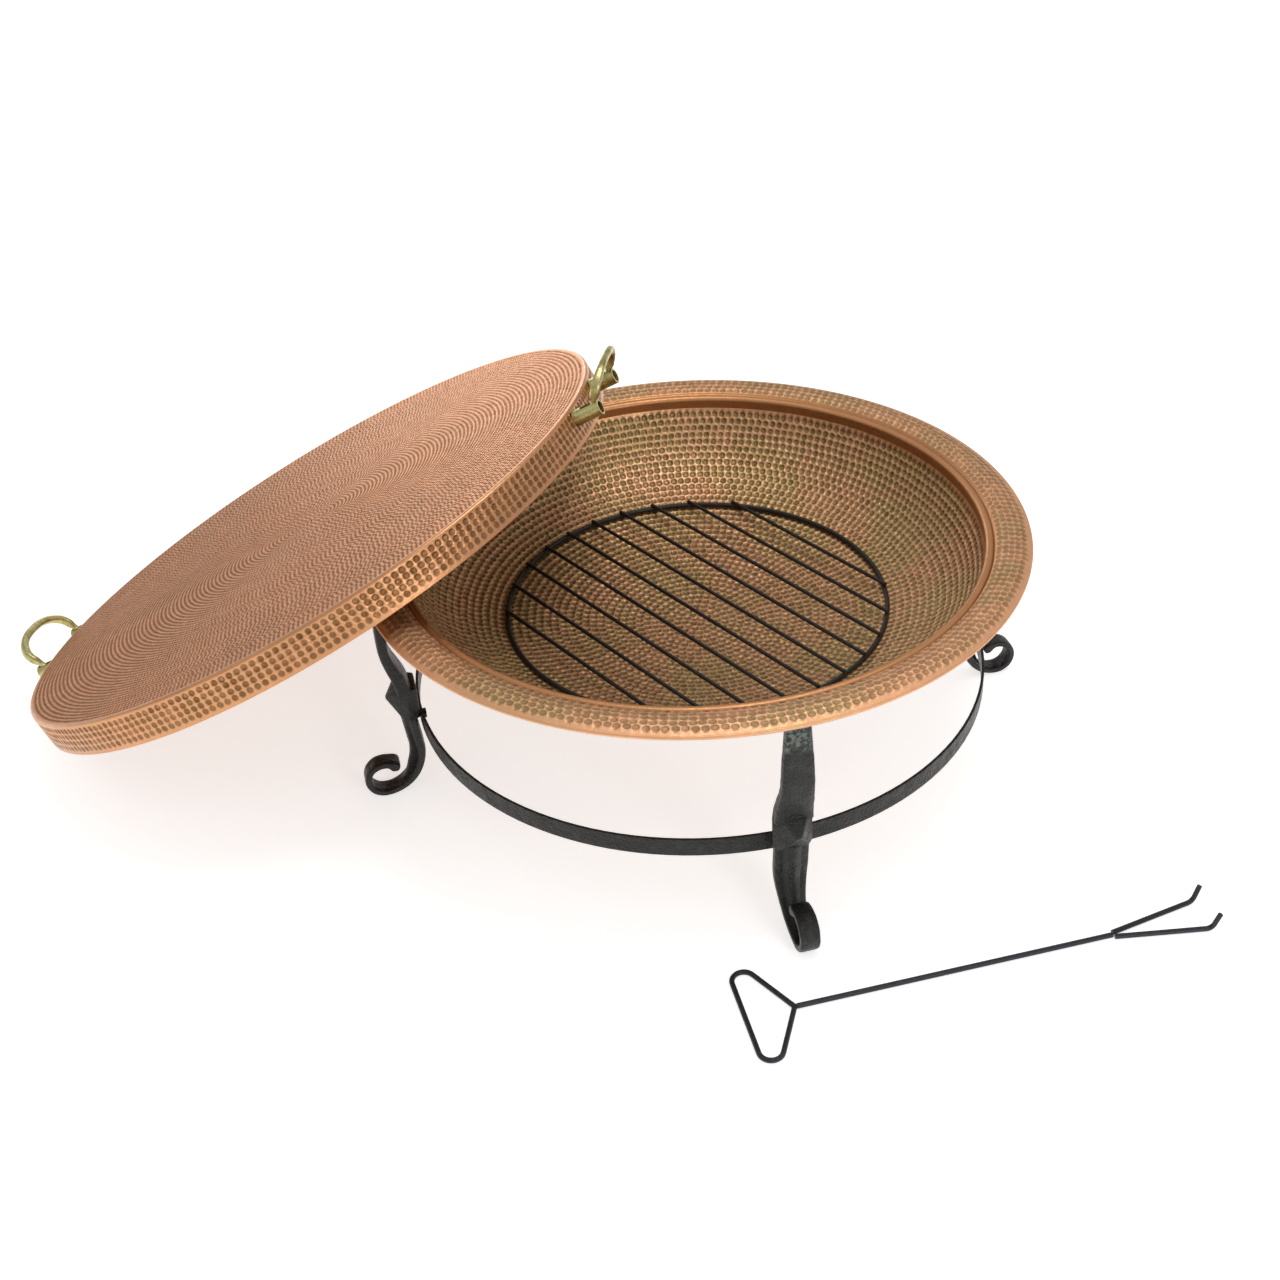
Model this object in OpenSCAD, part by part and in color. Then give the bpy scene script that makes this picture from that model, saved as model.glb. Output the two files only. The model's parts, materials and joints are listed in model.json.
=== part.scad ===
// Hammered copper fire pit: a forged iron stand on four scrolled legs, a dished copper bowl
// with a wire grate, a capped copper lid leaning on its rim, and a forked wire poker.
// Millimetres, +Z up, floor at z = 0. The lid leans towards -X.

/* [Bowl] */
// Outer radius of the bowl's flange
rim_r = 430; // [428:1:436]
// Height of the flange's outer edge above the floor
rim_h = 321; // [319:1:324]
// Thickness of the copper sheet
sheet = 1.5; // [1:0.1:2]
// Height of the bowl's lowest inside point
bowl_floor_h = 179; // [176:1:182]
// Radius of the shallow bottom of the bowl
bottom_curve_r = 1085; // [1060:5:1110]
// Radius of the curve from the bottom up to the lip
side_curve_r = 176; // [172:1:180]

/* [Grate] */
// Radius of the grate's ring, to the middle of the wire
grate_r = 250.7; // [240:0.1:252]
// Diameter of the ring's wire
grate_wire_d = 6; // [5:0.5:7]
// Diameter of the bars
grate_bar_d = 5; // [4:0.5:6]
// Direction of the bars in plan
grate_turn = -31.5; // [-90:0.5:90]

/* [Lid] */
// Outer radius of the lid
lid_r = 447.5; // [445:0.5:450]
// Depth of the lid's skirt
skirt_h = 46.5; // [44:0.5:50]
// Lean of the lid from level
lid_tilt = 28; // [27.5:0.1:28.5]
// Direction of the two handles, seen in the lid's own plane
handle_turn = 11.2; // [8:0.1:14]
// Distance between the two bosses of a handle
boss_gap = 110; // [100:1:112]
// Rise of the right bail above the lid's plane, where it rests
right_rest = 50; // [50:1:60]
// Rise of the left bail above the lid's plane, where it rests
left_rest = 62; // [50:1:66]

/* [Stand] */
// Outer radius of the band ring
band_r = 381; // [380:1:382]
// Height of the band ring's lower edge
band_h = 108; // [100:1:110]
// Depth of the band ring
band_w = 24; // [20:1:26]
// Direction of the first leg in plan
leg_turn = 33; // [30:1:36]

/* [Poker] */
// Diameter of the poker's wire
poker_d = 6.4; // [5:0.2:7]
// Length of the straight shaft
shaft_len = 394; // [380:1:400]
// Direction of the poker in plan
poker_turn = 32; // [30:0.1:34]

/* [Hidden] */

LEGS = ["right", "back", "left", "front"];
SIDES = ["right", "left"];
$fn = 96;
gap = 0.3;          // between pieces that lift or swing apart
fit = 0.05;         // radial clearance of a pin in its hole
touch = 0.02;       // between pieces of one body
wide = 1000;        // longer than anything it cuts

// The bowl's axis stands off the origin, which is under the middle of the whole set.
bowl_x = 156.7;
bowl_y = 53.4;

// Bowl section: a shallow bottom, a side curve, a rounded lip, a groove and a domed flange.
join_r = 253;
join_slope = asin(join_r / bottom_curve_r);
bottom_c = bowl_floor_h + bottom_curve_r;
side_c = [join_r - side_curve_r * sin(join_slope),
          bottom_c - (bottom_curve_r - side_curve_r) * cos(join_slope)];
side_end = 65;
lip_r = 6;
lip_c = [376.5, rim_h - 4];
lip_end = 15;
flange_curve_r = 40;
flange_c = [404.5, rim_h - 31.5];
hem_r = 2.6;
hem_c = [rim_r - hem_r, rim_h - 0.5];
flange_in = 383.2;
flange_out = hem_c[0] - hem_r + 0.4;

// Grate: the ring lies on the bowl's shallow bottom, and the bars lie on the ring.
grate_h = bottom_c - sqrt(pow(bottom_curve_r - grate_wire_d / 2 - gap, 2) - pow(grate_r, 2));
bar_h = grate_h + grate_wire_d / 2 + grate_bar_d / 2 + touch;
bars = 10;
bar_pitch = 44.7;

// Lid: its hem stands on the floor and its plate leans on the bowl's hem.
lid_z = lid_r * sin(lid_tilt) + skirt_h * cos(lid_tilt);
lid_x = -hem_c[0] - ((hem_c[1] - lid_z) * cos(lid_tilt) + sheet + hem_r + gap) / sin(lid_tilt);
lid_edge_r = 4;
lid_hem_t = 2.5;
lid_hem_h = 5;

// Handle: two slotted tubes on the skirt, a pin across each, and a flat strap bail.
boss_r = 10.5;
boss_len = 34.2;
bore_r = 8;
bore_from = 9.5;
boss_drop = 16;
pivot_out = 20;
slot_w = 9;
slot_from = 8.5;
slot_to = 33;
pin_r = 2;
eye_r = 6;
strap_t = 11;
strap_w = 12.5;
root_t = 8;
root_w = 6;
root_len = 18;
bail_len = 57;
bail_bulge = 1.12;
bail_square = 2.55;
rivet_r = 3;
rivet_head_r = 6;
rivet_head_t = 2.4;
rivet_gap = 0.1;
rivet_stop = 3;

// Leg, seen from the side: an arm that curves in, a faceted knuckle, and a scroll.
arm_top = rim_h - 3;
arm_bend_h = 235;
arm_in = 408.5;
arm_out = 422.5;
arm_w = 38;
arm_top_w = 30;
knuckle_h = [123, 171];
knuckle_r = [band_r + touch, 388, 408, 422];
knuckle_ridge_h = 152;
knuckle_half = 25;
bar_back = band_r + touch;
bar_t = 11;
ridge_t = 6;
bar_w = 38;
foot_w = 24;
sweep_r = 52;
curl_r = 22.5;
curl_turn = 215;
foot_t = 9;
knob_r = 8;
bolt_r = 3;
bolt_head_r = 7;
bolt_head_t = 5;
bolt_depth = 10;
band_t = 3.5;
bowl_ring_t = 4;
bowl_ring_h = 20;

// Poker, along +X from the loop's point.
poker_x = 252.8;
poker_y = -468;
loop_bend_r = 14;
loop_c = [-44, 54];
loop_point_r = 4;
wire_sides = 16;
prong_from = 1.5;
prong_spread = 10;
prong_len = 111;
prong_bend_r = 10;
prong_rise = 70;
prong_tip = 16;

function arc(c, r, a, b, n = 24) =
    [for (k = [0 : n]) let (t = a + (b - a) * k / n) c + r * [cos(t), sin(t)]];
// A curve that leaves [x0, y0] straight down and ends at [x1, y1].
function bend(x0, y0, x1, y1, n = 16) =
    let (dx = x0 - x1, dy = y0 - y1, t = 2 * atan(dx / dy), r = dy / sin(t))
    [for (k = [0 : n]) [x0 - r + r * cos(t * k / n), y0 - r * sin(t * k / n)]];
function flange_at(r, t) = [r, flange_c[1] + sqrt(pow(flange_curve_r - t, 2) - pow(r - flange_c[0], 2))];
function angle_at(r, t) = acos((r - flange_c[0]) / (flange_curve_r - t));

module at_bowl() { translate([bowl_x, bowl_y, 0]) children(); }
module on_leg(k) { at_bowl() rotate(leg_turn + 90 * k) children(); }
module on_lid() { at_bowl() translate([lid_x, 0, lid_z]) rotate([0, -lid_tilt, 0]) children(); }
module on_side(k) { on_lid() rotate(handle_turn + 180 * k) children(); }
module on_poker() {
    at_bowl() translate([poker_x, poker_y, poker_d / 2]) rotate(poker_turn) children();
}
// Stands a section drawn as [distance out, height] up in its leg's plane.
module side_plate(w) { translate([0, w / 2, 0]) rotate([90, 0, 0]) linear_extrude(w) children(); }
// ---- Bowl ----
module bowl_section() {
    top = concat(
        arc([0, bottom_c], bottom_curve_r, -90, -90 + join_slope, 30),
        arc(side_c, side_curve_r, -90 + join_slope, -90 + side_end, 30),
        arc(lip_c, lip_r, 180, lip_end, 16),
        arc(flange_c, flange_curve_r, angle_at(flange_in, 0), angle_at(flange_out, 0), 24),
        arc(hem_c, hem_r, 100, -180, 20));
    under = concat(
        arc([0, bottom_c], bottom_curve_r + sheet, -90, -90 + join_slope, 30),
        arc(side_c, side_curve_r + sheet, -90 + join_slope, -90 + side_end, 30),
        arc(lip_c, lip_r - sheet, 180, lip_end, 16),
        [[lip_c[0] + lip_r - 1, lip_c[1] - 0.6], [flange_in + 0.2, lip_c[1] - 0.4]],
        arc(flange_c, flange_curve_r - sheet, angle_at(flange_in + 1.8, sheet),
            angle_at(flange_out - 1.3, sheet), 24));
    polygon(concat(top, [for (k = [len(under) - 1 : -1 : 0]) under[k]]));
}
module bowl_pan() {
    color("peru") at_bowl() rotate_extrude($fn = 180) bowl_section();
}
module grate_ring() {
    color("dimgray") at_bowl() translate([0, 0, grate_h])
        rotate_extrude($fn = 120) translate([grate_r, 0]) circle(d = grate_wire_d, $fn = 24);
}
module grate_bar(k) {
    off = (k - (bars + 1) / 2) * bar_pitch;
    half = sqrt(pow(grate_r + 1, 2) - pow(off, 2));
    color("dimgray") at_bowl() rotate(grate_turn) translate([-half, off, bar_h])
        rotate([0, 90, 0]) cylinder(h = 2 * half, d = grate_bar_d, $fn = 24);
}

// ---- Lid ----
module lid_plate() {
    color("sandybrown") on_lid() translate([0, 0, -sheet])
        cylinder(h = sheet, r = lid_r - lid_edge_r - touch, $fn = 180);
}
module lid_skirt() {
    color("sandybrown") difference() {
        on_lid() rotate_extrude($fn = 180) polygon(concat(
            arc([lid_r - lid_edge_r, -lid_edge_r], lid_edge_r, 90, 0, 8),
            [[lid_r, -skirt_h], [lid_r - lid_hem_t, -skirt_h],
             [lid_r - lid_hem_t, lid_hem_h - skirt_h], [lid_r - sheet, lid_hem_h + 1 - skirt_h]],
            arc([lid_r - lid_edge_r, -lid_edge_r], lid_edge_r - sheet, 0, 90, 8)));
        for (k = [0, 1], y = [-1, 1] * boss_gap / 2) at_boss(k, y)
            translate([0, 0, -boss_r]) cylinder(h = 2 * boss_r, r = rivet_r + touch, $fn = 24);
    }
}
// Along +X from the skirt, at the place of one boss.
module at_boss(k, y) {
    on_side(k) translate([lid_r, y, -boss_drop]) rotate([0, 90, 0]) children();
}
module boss(k, y) {
    color("darkkhaki") difference() {
        at_boss(k, y) translate([0, 0, -8]) cylinder(h = boss_len + 8, r = boss_r, $fn = 48);
        on_lid() translate([0, 0, -wide / 2]) cylinder(h = wide, r = lid_r + touch, $fn = 180);
        at_boss(k, y) translate([0, 0, bore_from]) cylinder(h = boss_len, r = bore_r, $fn = 48);
        at_boss(k, y) translate([-boss_r - 1, -slot_w / 2, slot_from])
            cube([boss_r + 1, slot_w, slot_to - slot_from]);
        at_boss(k, y) translate([0, -2 * boss_r, pivot_out]) rotate([-90, 0, 0])
            cylinder(h = 4 * boss_r, r = pin_r + fit / 2, $fn = 24);
        at_boss(k, y) translate([0, 0, -boss_r])
            cylinder(h = boss_r + bore_from - rivet_stop, r = rivet_r + touch, $fn = 24);
    }
}
module bail_pins(k) {
    color("goldenrod") for (y = [-1, 1] * boss_gap / 2)
        at_boss(k, y) translate([0, -boss_r, pivot_out]) rotate([-90, 0, 0])
            cylinder(h = 2 * boss_r, r = pin_r, $fn = 24);
}
module lid_rivets() {
    seat = lid_r - sqrt(pow(lid_r - sheet, 2) - pow(boss_gap / 2 + rivet_head_r, 2));
    head = -seat - rivet_gap - rivet_head_t;
    color("darkgoldenrod") for (k = [0, 1], y = [-1, 1] * boss_gap / 2)
        at_boss(k, y) translate([0, 0, head]) {
            cylinder(h = bore_from - rivet_stop - rivet_gap - head, r = rivet_r, $fn = 24);
            cylinder(h = rivet_head_t, r = rivet_head_r, $fn = 32);
        }
}
// The bail's strap at angle t round it: its reach, its growth from the bosses, its middle and its sides.
function bail_reach(t) = bail_len * pow(abs(sin(t)), 2 / bail_square);
function bail_growth(t) =
    (1 - cos(180 * min(1, max(0, (bail_reach(t) - boss_r) / (bail_len / 2))))) / 2;
function bail_point(t) =
    [bail_reach(t), sign(cos(t)) * pow(abs(cos(t)), 2 / bail_square)
     * (1 + (bail_bulge - 1) * bail_growth(t)) * boss_gap / 2];
function bail_side(t, s) =
    let (v = bail_point(t + 0.5) - bail_point(t - 0.5), n = [v[1], -v[0]] / norm(v))
    bail_point(t) + s * (root_t + (strap_t - root_t) * bail_growth(t)) / 2 * n;
module bail_strap() {
    steps = [for (k = [0 : 44]) 1 + 178 * k / 44];
    polygon(concat([for (t = steps) bail_side(t, 1)],
                   [for (k = [44 : -1 : 0]) bail_side(steps[k], -1)]));
}
module bail(k) {
    color("khaki") on_side(k) translate([lid_r + pivot_out, 0, -boss_drop])
        rotate([0, k == 0 ? -right_rest : -left_rest, 0]) difference() {
            union() {
                intersection() {
                    translate([0, 0, -strap_w / 2]) linear_extrude(strap_w) bail_strap();
                    translate([root_len, -wide / 2, -wide / 2]) cube(wide);
                }
                intersection() {
                    translate([0, 0, -root_w / 2]) linear_extrude(root_w) bail_strap();
                    translate([eye_r - 1.5, -wide / 2, -wide / 2]) cube([root_len, wide, wide]);
                }
                for (y = [-1, 1] * boss_gap / 2) translate([0, y, 0]) rotate([90, 0, 0])
                    cylinder(h = root_t, r = eye_r, center = true, $fn = 48);
            }
            for (y = [-1, 1] * boss_gap / 2) translate([0, y, 0]) rotate([90, 0, 0])
                cylinder(h = 3 * strap_t, r = pin_r + fit, center = true, $fn = 24);
        }
}

// ---- Stand ----
module ring_band(r, t, h, w) {
    translate([0, 0, h]) difference() {
        cylinder(h = w, r = r, $fn = 180);
        translate([0, 0, -1]) cylinder(h = w + 2, r = r - t, $fn = 180);
    }
}
module bolt_place(k) {
    on_leg(k) translate([band_r - band_t, 0, band_h + band_w / 2 - 4]) rotate([0, 90, 0]) children();
}
module band_ring() {
    color("#2b2b2b") difference() {
        at_bowl() ring_band(band_r, band_t, band_h, band_w);
        for (k = [0 : 3]) bolt_place(k) translate([0, 0, -5])
            cylinder(h = 20, r = bolt_r + touch, $fn = 24);
    }
}
module bowl_ring() {
    top = flange_at(arm_in - bowl_ring_t, sheet)[1] - gap;
    color("#2b2b2b") at_bowl() ring_band(arm_in - touch, bowl_ring_t, top - bowl_ring_h, bowl_ring_h);
}
module ring_bolts() {
    color("#3a3a3a") for (k = [0 : 3]) bolt_place(k) {
        translate([0, 0, -1]) cylinder(h = bolt_depth + 1, r = bolt_r, $fn = 24);
        translate([0, 0, -bolt_head_t - 0.1]) cylinder(h = bolt_head_t, r = bolt_head_r, $fn = 6);
    }
}
module leg_arm(k) {
    low = knuckle_h[1] + touch;
    color("#222222") on_leg(k) intersection() {
        side_plate(arm_w) polygon(concat(
            [[arm_in, arm_top]], bend(arm_in, arm_bend_h, knuckle_r[1], low),
            [for (p = [16 : -1 : 0]) bend(arm_out, arm_bend_h, knuckle_r[2], low)[p]],
            [[arm_out, arm_top]]));
        rotate([90, 0, 90]) linear_extrude(wide) polygon([
            [-arm_w / 2, 0], [arm_w / 2, 0], [arm_w / 2, arm_bend_h],
            [arm_top_w / 2, arm_top + 1], [-arm_top_w / 2, arm_top + 1], [-arm_w / 2, arm_bend_h]]);
    }
}
module leg_knuckle(k) {
    color("#222222") on_leg(k) intersection() {
        side_plate(2 * knuckle_half) polygon([
            [knuckle_r[0], knuckle_h[0]], [403, knuckle_h[0]], [knuckle_r[3], knuckle_ridge_h],
            [knuckle_r[2], knuckle_h[1]], [knuckle_r[0], knuckle_h[1]]]);
        linear_extrude(wide) polygon([
            [knuckle_r[0], -18], [396, -knuckle_half], [knuckle_r[3], -3],
            [knuckle_r[3], 3], [396, knuckle_half], [knuckle_r[0], 18]]);
    }
}
// Section of the leg's lower bar: a flat back and a ridge on the outer side, [out, across].
module ridged(t, ridge) {
    polygon([[-t / 2, -bar_w / 2], [t / 2, -bar_w / 2], [t / 2 + ridge, -1.5],
             [t / 2 + ridge, 1.5], [t / 2, bar_w / 2], [-t / 2, bar_w / 2]]);
}
module leg_scroll(k) {
    mid = bar_back + bar_t / 2;
    turn_h = foot_t / 2 + sweep_r;
    curl_h = foot_t / 2 + curl_r;
    out = mid + sweep_r;
    color("#222222") on_leg(k) difference() {
        intersection() {
            union() {
                translate([mid, 0, turn_h]) linear_extrude(knuckle_h[0] - touch - turn_h) ridged(bar_t, ridge_t);
                translate([out, 0, turn_h]) rotate([90, 0, 0]) rotate([0, 0, 180])
                    rotate_extrude(angle = 90, $fn = 120) translate([sweep_r, 0])
                        mirror([1, 0]) ridged(bar_t, ridge_t);
                translate([out, 0, curl_h]) rotate([90, 0, 0]) rotate([0, 0, -90])
                    rotate_extrude(angle = curl_turn, $fn = 96) translate([curl_r, 0])
                        square([foot_t, bar_w], center = true);
                translate([out, 0, curl_h]) rotate([90, 0, 0]) rotate([0, 0, curl_turn - 90])
                    translate([curl_r - knob_r + foot_t / 2, 0, 0])
                        cylinder(h = bar_w, r = knob_r, center = true, $fn = 48);
            }
            translate([0, 0, -1]) linear_extrude(wide) polygon([
                [bar_back, -bar_w / 2], [400, -bar_w / 2], [out, -foot_w / 2], [out + 60, -foot_w / 2],
                [out + 60, foot_w / 2], [out, foot_w / 2], [400, bar_w / 2], [bar_back, bar_w / 2]]);
            translate([0, -wide / 2, 0]) cube(wide);
        }
        translate([band_r - band_t, 0, band_h + band_w / 2 - 4]) rotate([0, 90, 0])
            cylinder(h = bolt_depth + 0.2, r = bolt_r + touch, $fn = 24);
    }
}

// ---- Poker ----
// Round wire along a path of [x, y] points, with flat ends or closed on itself.
module wire(path, closed = false) {
    n = len(path);
    function side(k) =
        let (a = closed ? path[(k + n - 1) % n] : path[max(k - 1, 0)],
             b = closed ? path[(k + 1) % n] : path[min(k + 1, n - 1)],
             v = (b - a) / norm(b - a))
        [v[1], -v[0]];
    points = [for (k = [0 : n - 1], j = [0 : wire_sides - 1])
        let (turn = 360 * j / wire_sides, s = side(k) * cos(turn), r = poker_d / 2)
        [path[k][0] + r * s[0], path[k][1] + r * s[1], r * sin(turn)]];
    walls = [for (k = [0 : closed ? n - 1 : n - 2], j = [0 : wire_sides - 1])
        let (next = (j + 1) % wire_sides, a = k * wire_sides, b = ((k + 1) % n) * wire_sides)
        each [[a + j, b + j, b + next], [a + j, b + next, a + next]]];
    ends = closed ? [] : [[for (j = [0 : wire_sides - 1]) j],
        [for (j = [wire_sides - 1 : -1 : 0]) (n - 1) * wire_sides + j]];
    polyhedron(points, concat(walls, ends), convexity = 4);
}
module poker_loop() {
    point_c = [-loop_point_r, 0];
    v = loop_c - point_c;
    side = atan2(v[1], v[0]) - 90 - asin((loop_bend_r - loop_point_r) / norm(v));
    half = concat(arc(point_c, loop_point_r, 0, side, 4), arc(loop_c, loop_bend_r, side, 180, 10));
    other = [for (k = [len(half) - 1 : -1 : 1]) [half[k][0], -half[k][1]]];
    color("#26282c") on_poker() wire(concat(half, other), closed = true);
}
module poker_shaft() {
    color("#26282c") on_poker() translate([poker_d / 2 + touch, 0, 0]) rotate([0, 90, 0])
        cylinder(h = shaft_len - poker_d / 2, d = poker_d, $fn = 24);
}
// A prong runs out to one side of the shaft, and its tip turns up.
module poker_prong(s) {
    tip = [sin(prong_rise), 1 - cos(prong_rise)] * prong_bend_r;
    color("#26282c") on_poker()
        translate([shaft_len + 2 * touch, s * (poker_d / 2 + touch), 0]) rotate(s * prong_spread)
        rotate([90, 0, 0]) wire(concat(
            [[prong_from, 0]],
            arc([prong_len, prong_bend_r], prong_bend_r, -90, prong_rise - 90, 8),
            [[prong_len, 0] + tip + prong_tip * [cos(prong_rise), sin(prong_rise)]]));
}

band_ring();
bowl_ring();
ring_bolts();
for (k = [0 : 3]) {
    leg_arm(k);
    leg_knuckle(k);
    leg_scroll(k);
}
bowl_pan();
grate_ring();
for (k = [1 : 10]) grate_bar(k);
lid_plate();
lid_skirt();
lid_rivets();
for (k = [0, 1]) {
    boss(k, -boss_gap / 2);
    boss(k, boss_gap / 2);
    bail_pins(k);
    bail(k);
}
poker_loop();
poker_shaft();
poker_prong(1);  // poker_prong_a
poker_prong(-1);  // poker_prong_b
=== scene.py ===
import json
import math

import bpy
import numpy as np
from mathutils import Matrix, Vector

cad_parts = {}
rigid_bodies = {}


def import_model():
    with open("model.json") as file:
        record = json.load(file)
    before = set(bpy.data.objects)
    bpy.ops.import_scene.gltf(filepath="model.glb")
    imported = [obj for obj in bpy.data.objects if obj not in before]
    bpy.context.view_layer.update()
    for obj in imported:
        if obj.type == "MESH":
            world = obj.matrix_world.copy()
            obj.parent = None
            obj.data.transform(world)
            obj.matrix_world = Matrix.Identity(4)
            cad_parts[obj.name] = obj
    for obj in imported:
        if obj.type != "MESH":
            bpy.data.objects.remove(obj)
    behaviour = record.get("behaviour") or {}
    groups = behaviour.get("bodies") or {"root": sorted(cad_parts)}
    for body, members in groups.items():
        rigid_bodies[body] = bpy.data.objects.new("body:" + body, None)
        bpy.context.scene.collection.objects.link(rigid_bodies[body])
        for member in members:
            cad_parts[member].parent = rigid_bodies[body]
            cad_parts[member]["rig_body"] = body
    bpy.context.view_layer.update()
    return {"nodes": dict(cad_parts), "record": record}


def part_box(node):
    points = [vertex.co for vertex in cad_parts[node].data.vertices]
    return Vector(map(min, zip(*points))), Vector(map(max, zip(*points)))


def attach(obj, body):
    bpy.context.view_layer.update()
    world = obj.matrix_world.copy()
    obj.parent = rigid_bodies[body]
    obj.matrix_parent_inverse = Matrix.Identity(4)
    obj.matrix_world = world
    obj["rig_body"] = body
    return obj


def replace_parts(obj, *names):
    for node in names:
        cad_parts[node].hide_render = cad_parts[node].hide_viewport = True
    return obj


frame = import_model()
nodes = frame["nodes"]
rng = np.random.default_rng(34)

# The same driving sizes as the CAD source, in metres. The bowl's are in its own frame: radius from
# its axis, height from the floor. The lid's are from the middle of its flat top.
SHEET = 0.0015
BOWL_FLOOR = 0.179
BOTTOM_R = 1.085
SIDE_R = 0.176
JOIN_R = 0.253
SIDE_END = math.radians(65)
LIP_R = 0.006
LIP_C = (0.3765, 0.317)
LIP_END = math.radians(15)
FLANGE_R = 0.040
FLANGE_C = (0.4045, 0.2895)
HEM_R = 0.0026
LID_R = 0.4475
SKIRT = 0.0465
LID_TILT = math.radians(28)
LID_EDGE = 0.004
LID_HEM = 0.0025
LID_HEM_H = 0.005

bowl_low, bowl_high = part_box("bowl_pan")
BOWL = (bowl_low + bowl_high) / 2
RIM_R = (bowl_high.x - bowl_low.x) / 2
HEM_C = (RIM_R - HEM_R, 0.3205)
WELD_H = 0.276  # above this the legs are grey from welding
SPIN = 6  # each row of hammer marks starts at a random turn between 0 and this, in radians
CENTRE_RING = 12  # points in the smallest ring, round the axis
DEPTH_SPREAD = (0.75, 1.15)  # a hammer mark's depth, as a share of its row's
ROW_REACH = 0.53  # a mark reaches at most this share of its row's width


# ---- Meshes ----
def ring_faces(inner, outer):
    """Triangles between two closed rings, each (first index, count, angle of the first point)."""
    (a0, n, start_a), (b0, m, start_b) = inner, outer
    lead = round((start_a - start_b) / (2 * math.pi / m))
    angle_a = lambda i: start_a + 2 * math.pi * i / n
    angle_b = lambda j: start_b + 2 * math.pi * (j + lead) / m
    faces, i, j = [], 0, 0
    while i < n or j < m:
        a, b = a0 + i % n, b0 + (j + lead) % m
        if j >= m or (i < n and angle_a(i + 1) <= angle_b(j + 1)):
            faces.append((a, b, a0 + (i + 1) % n))
            i += 1
        else:
            faces.append((a, b, b0 + (j + 1 + lead) % m))
            j += 1
    return faces


def add_mesh(name, points, faces, body, look):
    """A smooth mesh that rides on a body, filled in bulk because the skins are large."""
    mesh = bpy.data.meshes.new(name)
    points = np.asarray(points, np.float32)
    loops = [len(f) for f in faces]
    corners = np.concatenate([np.asarray(f, np.int32) for f in faces])
    mesh.vertices.add(len(points))
    mesh.vertices.foreach_set("co", points.ravel())
    mesh.loops.add(sum(loops))
    mesh.loops.foreach_set("vertex_index", corners)
    mesh.polygons.add(len(faces))
    mesh.polygons.foreach_set("loop_start", np.cumsum([0] + loops[:-1], dtype=np.int32))
    mesh.update(calc_edges=True)
    mesh.validate()
    mesh.polygons.foreach_set("use_smooth", np.full(len(mesh.polygons), True))
    obj = bpy.data.objects.new(name, mesh)
    bpy.context.scene.collection.objects.link(obj)
    mesh.materials.append(look)
    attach(obj, body)
    return obj


class Revolved:
    """A surface of revolution built ring by ring along a profile.

    Each point also carries a dent, how far inside a hammer mark it is, and the mark's own tone.
    """

    def __init__(self, profile, place):
        self.profile, self.place = profile, place
        self.points, self.dents, self.tones, self.faces = [], [], [], []
        self.last, self.size = None, 0

    def ring(self, s, count, start=0.0, depth=0.0, dent=0.0, tone=0.0):
        """One ring of points at arc length s, each pushed in by depth and joined to the last."""
        r, z, out_r, out_z = self.profile(s)
        turn = start + 2 * np.pi * np.arange(count) / count
        depth = np.broadcast_to(depth, count)
        rr, zz = r - depth * out_r, z - depth * out_z
        self.points.append(np.stack([rr * np.cos(turn), rr * np.sin(turn), zz], 1))
        self.dents.append(np.broadcast_to(dent, count))
        self.tones.append(np.broadcast_to(tone, count))
        new = (self.size, count, start)
        if self.last and self.last[1:] == new[1:]:
            a, b = self.last[0], self.size
            nxt = lambda k: (k + 1) % count
            self.faces += [(a + k, b + k, b + nxt(k), a + nxt(k)) for k in range(count)]
        elif self.last:
            self.faces += ring_faces(self.last, new)
        self.last = new
        self.size += count

    def centre(self, s):
        """Starts on the axis: one small ring at arc length s, filled, from which the skin grows."""
        self.ring(s, CENTRE_RING)
        self.close()
        self.last = (0, CENTRE_RING, 0.0)

    def dimples(self, s, start, pitch, row, radius, depth, columns, levels, jitter, flat):
        """A row of round hammer marks, centred on arc length s, and the metal between them.

        A mark is flat out to that share of its radius and eases up to the surface from there. It
        has columns by levels points, across and along the profile, and lies off its place by up
        to jitter times the pitch.
        """
        around = 2 * math.pi * self.profile(s)[0]
        count = max(3, round(around / pitch))
        step = around / count
        off = rng.uniform(-jitter, jitter, (count, 2)) * pitch
        deep = depth * rng.uniform(*DEPTH_SPREAD, count)
        tone = rng.random(count)
        across = (np.arange(columns) / columns * 2 - 1) * step / 2
        for k in range(levels):
            along = (k + 0.5) / levels * row - row / 2
            rho = np.hypot((across[None, :] - off[:, :1]) / radius,
                           (along - off[:, 1:]) / min(radius, ROW_REACH * row))
            q = np.clip((rho - flat) / (1 - flat), 0, 1)
            mark = 1 - q * q * (3 - 2 * q)
            self.ring(s + along, count * columns, start, (deep[:, None] * mark).ravel(),
                      mark.ravel(), np.repeat(tone, columns))

    def close(self):
        """Fills the last ring's inside with one point, on the axis."""
        first, count, _ = self.last
        z = self.points[-1][:, 2].mean()
        self.points.append(np.array([[0, 0, z]]))
        self.dents.append(np.zeros(1))
        self.tones.append(np.zeros(1))
        self.faces += [(first + (k + 1) % count, first + k, self.size) for k in range(count)]
        self.size += 1

    def build(self, name, body, look):
        points = self.place(np.concatenate(self.points))
        obj = add_mesh(name, points, self.faces, body, look)
        for label, values in (("dent", self.dents), ("tone", self.tones)):
            data = obj.data.attributes.new(label, "FLOAT", "POINT").data
            data.foreach_set("value", np.concatenate(values).astype(np.float32))
        return obj


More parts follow.
